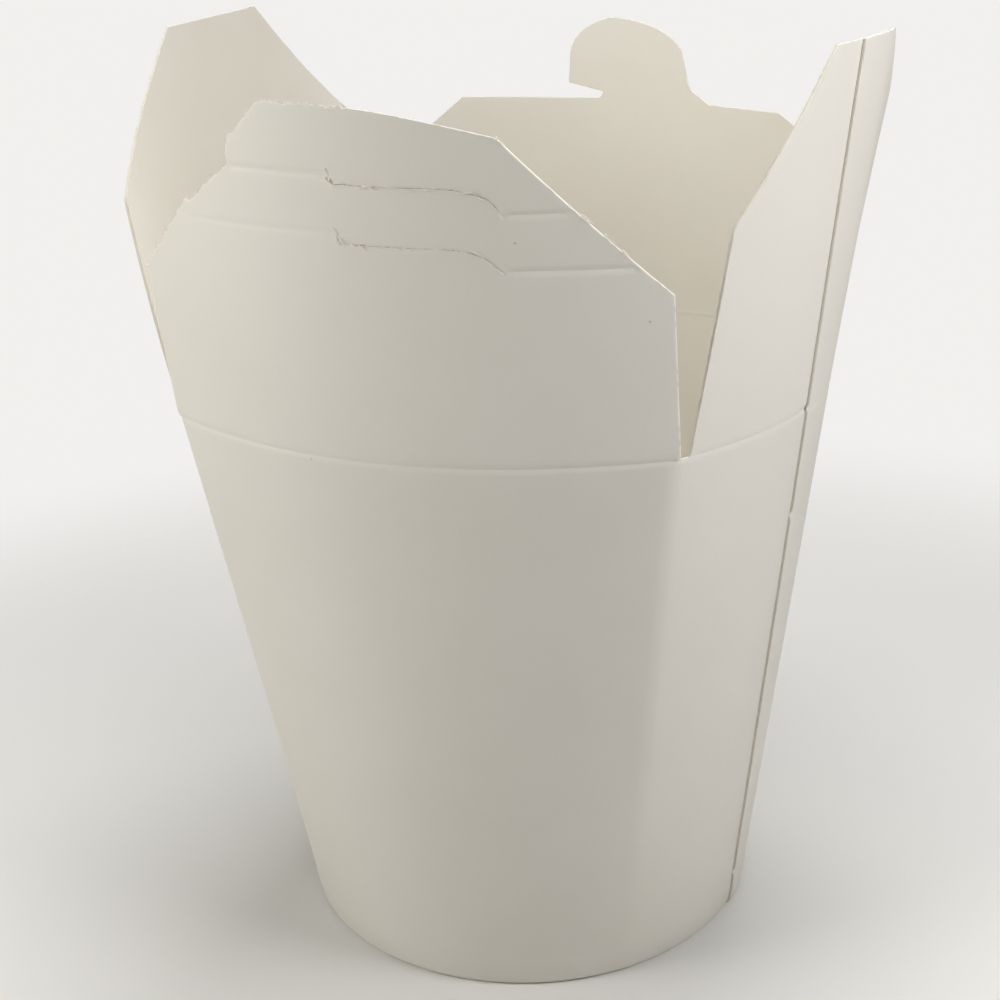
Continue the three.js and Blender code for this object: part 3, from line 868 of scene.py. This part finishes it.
# Torn fibres: wisps of bare pulp, a millimetre or so long, that stand out of the slits and the torn
# edge and in small tufts on the right chamfer. They are scattered along lines of the flat flap and
# lifted with it.
FIBRE_SIZES = ("Spacing", "Length", "Radius", "Stray", "Depth", "Turn aside")
STRAY_RANGE = {"Min": (-1.0, -1.0, -0.4), "Max": (1.0, 1.0, 0.1)}
TILT_RANGE = {"Min": (-3.1, -0.3, -1.0), "Max": (3.1, 0.3, 1.0)}
SIZE_RANGE = {"Min": 0.5, "Max": 1.3}
FIBRE_TIP = 0.3


def fibre_tree():
    """Bent tapering fibres along the blank's lines, turned and sized at random, then lifted."""
    tree, given = new_tree("torn_fibres", [*LIFT_SIZES, *FIBRE_SIZES], {
        "Foot centre": "Vector", "Seed": "Int", "Fibre finish": "Material",
    })
    path = add(tree, "GeometryNodeMeshToCurve", [given["Geometry"]])
    spaced_out = {"Curve": path, "Length": given["Spacing"]}
    roots = add(tree, "GeometryNodeCurveToPoints", spaced_out, mode="LENGTH")
    unit = add(tree, "GeometryNodeCurveQuadraticBezier", {
        "Resolution": 4, "Start": (-0.5, 0.0, 0.0), "Middle": (0.0, 0.3, -0.1), "End": (0.5, 0.1, 0.0),
    })
    bent = add(tree, "GeometryNodeTransform", {"Geometry": unit, "Scale": given["Length"]})
    along = add(tree, "GeometryNodeSplineParameter").outputs["Factor"]
    taper = add(tree, "ShaderNodeMapRange", {"Value": along, "To Min": 1.0, "To Max": FIBRE_TIP})
    section = add(tree, "GeometryNodeCurvePrimitiveCircle", {"Resolution": 4, "Radius": given["Radius"]})
    fibre = add(tree, "GeometryNodeCurveToMesh", {
        "Curve": bent, "Profile Curve": section, "Scale": taper, "Fill Caps": True,
    })
    seed = {"Seed": given["Seed"]}
    aside = add(tree, "FunctionNodeRandomValue", {**STRAY_RANGE, **seed}, data_type="FLOAT_VECTOR")
    deeper = add(tree, "ShaderNodeCombineXYZ", [0.0, 0.0, given["Depth"]])
    offset = add(tree, "ShaderNodeVectorMath", [aside, given["Stray"], deeper], operation="MULTIPLY_ADD")
    spots = add(tree, "GeometryNodeSetPosition", {"Geometry": roots.outputs["Points"], "Offset": offset})
    facing = add(tree, "FunctionNodeAlignRotationToVector", {"Vector": roots.outputs["Tangent"]}, axis="X")
    tilt = add(tree, "FunctionNodeRandomValue", {**TILT_RANGE, **seed}, data_type="FLOAT_VECTOR")
    tilt_parts = add(tree, "ShaderNodeSeparateXYZ", [tilt]).outputs
    swing = add(tree, "ShaderNodeMath", [tilt_parts[2], given["Turn aside"]], operation="MULTIPLY")
    turns = add(tree, "ShaderNodeCombineXYZ", [tilt_parts[0], tilt_parts[1], swing])
    turned = add(tree, "FunctionNodeRotateRotation", [
        facing, add(tree, "FunctionNodeEulerToRotation", [turns]),
    ], rotation_space="LOCAL")
    size = add(tree, "FunctionNodeRandomValue", {**SIZE_RANGE, **seed})
    fibres = add(tree, "GeometryNodeInstanceOnPoints", {
        "Points": spots, "Instance": fibre, "Rotation": turned, "Scale": size,
    })
    real = add(tree, "GeometryNodeRealizeInstances", [fibres])
    finished = add(tree, "GeometryNodeSetMaterial", {
        "Geometry": lifted(tree, given, real), "Material": given["Fibre finish"],
    })
    add(tree, "NodeGroupOutput", [finished])
    return tree


torn_fibres = fibre_tree()


def fibres_along(name, paths, seed, turn_aside, **sizes):
    """Fibres along paths of the front flap's blank, which follow the flap. The sizes are in mm."""
    edges, start = [], 0
    for path in paths:
        edges += [(start + i, start + i + 1) for i in range(len(path) - 1)]
        start += len(path)
    line = bpy.data.meshes.new(name + "_line")
    line.from_pydata([(x, y, 0) for x, y in np.concatenate(paths)], edges, [])
    metres = {label.capitalize(): size * MM for label, size in sizes.items()}
    piece = formed(name, line, torn_fibres, {
        **front, **metres, "Turn aside": turn_aside, "Seed": seed,
        # The fibres take the whiter cut finish with its painted highlight.
        "Fibre finish": FINISHES["Cut finish with painted highlight"],
    })
    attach(piece, "front_flap")


slit_ends = [trace(front, (-3.7, 42.7), (-3.0, 41.1)), trace(front, (-3.3, 34.5), (-2.2, 33.2))]
chamfer_tufts = [
    trace(front, (21.0, 47.4), (21.8, 46.7)), trace(front, (31.6, 36.6), (32.6, 35.6)),
    trace(front, (34.4, 33.7), (35.3, 32.8)), trace(front, (36.4, 31.6), (37.2, 30.8)),
]
fibres_along("slit_fibres", [upper_slit, lower_slit], 3, 0.35,
             spacing=0.9, length=1.4, radius=0.1, stray=0.15, depth=-0.02)
fibres_along("slit_end_fibres", slit_ends, 11, 0.6,
             spacing=0.6, length=1.3, radius=0.09, stray=0.3, depth=0.01)
fibres_along("torn_edge_fibres", [torn_edge], 8, 1.2,
             spacing=0.55, length=0.75, radius=0.05, stray=0.25, depth=0.15)
fibres_along("chamfer_fibres", chamfer_tufts, 5, 0.5,
             spacing=0.35, length=0.9, radius=0.1, stray=0.15, depth=0.05)

# The right flap: two layers of board, because the seam runs on up to its top. The far layer lies
# on top and settles back past the lap.
SIDE_END = 40.1
SEAM_LEAN = 0.033
right = panel(1, SIDE_BOW, edge_lean=0.141, middle_lean=0.121, spread=0.15, twist=0.109)
right_edge = trace(right, (-SIDE_END, 0), (SIDE_END, 0), (38, 33), (8, 57.1), (-16.5, 56.3), (-36.9, 32.8))
seam_foot = SEAM_AT_CREASE * HALF_SIDE


def seam_x(rise):
    return seam_foot + SEAM_LEAN * rise


def cut_at_seam(loop, shift, keep_far):
    """The part of a convex outline on one side of the seam line, moved sideways by the shift."""
    kept = []
    for a, b in zip(loop, np.roll(loop, -1, 0)):
        side_a, side_b = (p[0] - seam_x(p[1]) - shift for p in (a, b))
        if (side_a >= 0) == keep_far:
            kept.append(a)
        if (side_a >= 0) != (side_b >= 0):
            kept.append(a + (b - a) * side_a / (side_a - side_b))
    return np.array(kept)


def proud_relief(spots):
    past = spots[:, 0] - seam_x(spots[:, 1])
    lift = (BOARD + GLUE) * (1 - smooth(LAP, LAP + SETTLING, past))
    return groove(spots[:, 1]), lift


far_loop = spaced(cut_at_seam(right_edge, 0, True), EDGE_SPACING)
near_loop = spaced(cut_at_seam(right_edge, LAP, False), EDGE_SPACING)
far_sheet = sheet_mesh([far_loop], [], proud_relief)
front_rim = np.array([right_edge[-1], right_edge[0]])
# The near layer's front rim takes the painted highlight: a whiter pulp that lightens an edge the front flap
# shades.
near_sheet = sheet_mesh([near_loop], [], crease_relief(), [front_rim])
closing_flap("right", right, far_sheet, near_sheet)

# The back flap: plain, but for a tab that is cut in one with it. The tab has a round head and a
# hook, which catches in the front flap's slits.
back = panel(2, FRONT_BOW, edge_lean=0.06, middle_lean=0.08, spread=0.1)
back_edge = trace(back, (-FRONT_END, 0), (FRONT_END, 0), (FRONT_END, 31), (30.2, 42.2), (2.6, 41.5),
                  (1.4, 41.6, 1.3, 42.8), (8.5, 44.6), (8.3, 49.9), (7.8, 55.6, -0.6, 57.1),
                  (-11.5, 55.8, -15.1, 50.8), (-16.4, 46), (-16.8, 44, -17.8, 42.9), (-21.6, 40.4),
                  (-36.6, 39.5), (-FRONT_END, 35.5))
back_sheet = sheet_mesh([spaced(back_edge, EDGE_SPACING)], [], crease_relief())
closing_flap("back", back, back_sheet)

# The left flap: plain, with two chamfers. It opens furthest, and it is flatter towards its top than
# the others.
left = panel(3, SIDE_BOW, edge_lean=0.2, middle_lean=0.0, spread=0.15)
left_edge = trace(left, (-SIDE_END, 0), (SIDE_END, 0), (38.5, 34.8), (15.6, 60.4), (-13.5, 62.4),
                  (-43.4, 39.5))
left_sheet = sheet_mesh([spaced(left_edge, EDGE_SPACING)], [], crease_relief())
closing_flap("left", left, left_sheet)

# The studio: a pale floor that fades into a pale backdrop, soft lights, and a camera that looks down
# on the front right. The backdrop gives no light. A low ring gives what the faded floor would.
FLOOR_RADIUS = 0.4
FADE_FROM = 0.08
FADE_TO = 0.3
RING_RADII = (FADE_FROM, 0.6)
RING_HEIGHT = -1 * MM
RING_CORNERS = 64
RING_GLOW = 0.5
BACKDROP_RADIUS = 6
FLOOR_WHITE = "#E9E8E5"
BACKDROP_WHITE = "#F1F0EE"
ROOM_GLOW = 0.01


def glow(name, strength):
    material, tree = new_material(name)
    light = add(tree, "ShaderNodeEmission", {"Color": linear(BACKDROP_WHITE), "Strength": strength})
    add(tree, "ShaderNodeOutputMaterial", {"Surface": light})
    return material


def on_stage(piece, name, material):
    piece.name = name
    piece.data.materials.append(material)
    return piece


def pale_floor():
    """A matt white table that is clear at its rim, so that no edge shows against the backdrop."""
    material, tree = new_material("matt_white_table")
    place = add(tree, "ShaderNodeTexCoord").outputs["Object"]
    away = add(tree, "ShaderNodeVectorMath", [place], operation="LENGTH").outputs["Value"]
    fade = add(tree, "ShaderNodeMapRange", {
        "Value": away, "From Min": FADE_FROM, "From Max": FADE_TO,
    }, interpolation_type="SMOOTHSTEP")
    white = add(tree, "ShaderNodeBsdfPrincipled", {"Base Color": linear(FLOOR_WHITE), "Roughness": 0.9})
    blend = add(tree, "ShaderNodeMixShader", [fade, white, add(tree, "ShaderNodeBsdfTransparent")])
    add(tree, "ShaderNodeOutputMaterial", {"Surface": blend})
    bpy.ops.mesh.primitive_circle_add(vertices=64, radius=FLOOR_RADIUS, fill_type="NGON")
    on_stage(bpy.context.object, "floor", material)


def pale_backdrop():
    bpy.ops.mesh.primitive_uv_sphere_add(segments=32, ring_count=16, radius=BACKDROP_RADIUS)
    backdrop = on_stage(bpy.context.object, "backdrop", glow("pale_backdrop", 1.0))
    backdrop.visible_diffuse = False
    backdrop.visible_glossy = False
    backdrop.visible_shadow = False


def low_ring():
    angles = np.linspace(0, 2 * math.pi, RING_CORNERS + 1)[:-1]
    points = [(r * math.cos(a), r * math.sin(a), RING_HEIGHT) for r in RING_RADII for a in angles]
    after = np.roll(np.arange(RING_CORNERS), -1).tolist()
    faces = [(i, RING_CORNERS + i, RING_CORNERS + j, j) for i, j in enumerate(after)]
    mesh = bpy.data.meshes.new("low_ring")
    mesh.from_pydata(points, [], faces)
    ring = bpy.data.objects.new("low_ring", mesh)
    bpy.context.scene.collection.objects.link(ring)
    on_stage(ring, "low_ring", glow("white_reflector", RING_GLOW))
    ring.visible_camera = False


pale_floor()
pale_backdrop()
low_ring()
world = bpy.data.worlds.new("studio")
bpy.context.scene.world = world
world.use_nodes = True
background = world.node_tree.nodes["Background"]
background.inputs["Color"].default_value = linear("#FFFFFF")
background.inputs["Strength"].default_value = ROOM_GLOW
bpy.context.scene.view_settings.view_transform = "Standard"
LIGHT_AIM = Vector((0, 0, 130 * MM))


def soft_light(name, distance, azimuth, elevation, size, power, colour):
    """A round soft light at that distance, angle round the box from the right panel and height angle."""
    light = bpy.data.lights.new(name, "AREA")
    light.shape = "DISK"
    light.size = size
    light.energy = power
    light.color = linear(colour)[:3]
    around, up = math.radians(azimuth), math.radians(elevation)
    direction = Vector((math.cos(around) * math.cos(up), math.sin(around) * math.cos(up), math.sin(up)))
    lamp = bpy.data.objects.new(name, light)
    turn = direction.to_track_quat("Z", "Y").to_matrix().to_4x4()
    lamp.matrix_world = Matrix.Translation(LIGHT_AIM + direction * distance) @ turn
    lamp.visible_camera = False
    bpy.context.scene.collection.objects.link(lamp)


soft_light("left_low", 0.34, -140, 8, 0.2, 0.356, "#FFFEF8")
soft_light("left_front", 0.25, -130, 20, 0.14, 0.17, "#FFFEF8")
soft_light("front_right", 0.25, -60, 20, 0.14, 0.062, "#FFFEF8")
soft_light("right", 0.25, -10, 20, 0.14, 0.36, "#FFFFFF")
soft_light("overhead", 0.29, 0, 90, 0.2, 0.535, "#FFFFFF")
soft_light("back_high", 0.4, 90, 60, 0.25, 0.95, "#FFFFFF")

AZIMUTH = math.radians(22)
ELEVATION = math.radians(22.77)
DISTANCE = 290.449 * MM
CAMERA_AIM = Vector(FOOT_CENTRE) + Vector((0, 0, 60.42 * MM))
CAMERA_TURNS = (("Y", 0.64), ("X", 2.88), ("Z", -1.93))
LENS = 55.43


def place_camera():
    """A camera aimed at the box's middle, then turned some degrees about its own three axes."""
    right_hand = Vector((math.cos(AZIMUTH), math.sin(AZIMUTH), 0))
    back_off = Vector((math.sin(AZIMUTH), -math.cos(AZIMUTH), 0))
    to_camera = back_off * math.cos(ELEVATION) + Vector((0, 0, math.sin(ELEVATION)))
    turn = Matrix((right_hand, to_camera.cross(right_hand), to_camera)).transposed()
    for axis, degrees in CAMERA_TURNS:
        turn = turn @ Matrix.Rotation(math.radians(degrees), 3, axis)
    data = bpy.data.cameras.new("camera")
    data.lens = LENS
    data.sensor_width = 36
    camera = bpy.data.objects.new("camera", data)
    camera.matrix_world = Matrix.Translation(CAMERA_AIM + to_camera * DISTANCE) @ turn.to_4x4()
    bpy.context.scene.collection.objects.link(camera)
    bpy.context.scene.camera = camera


place_camera()
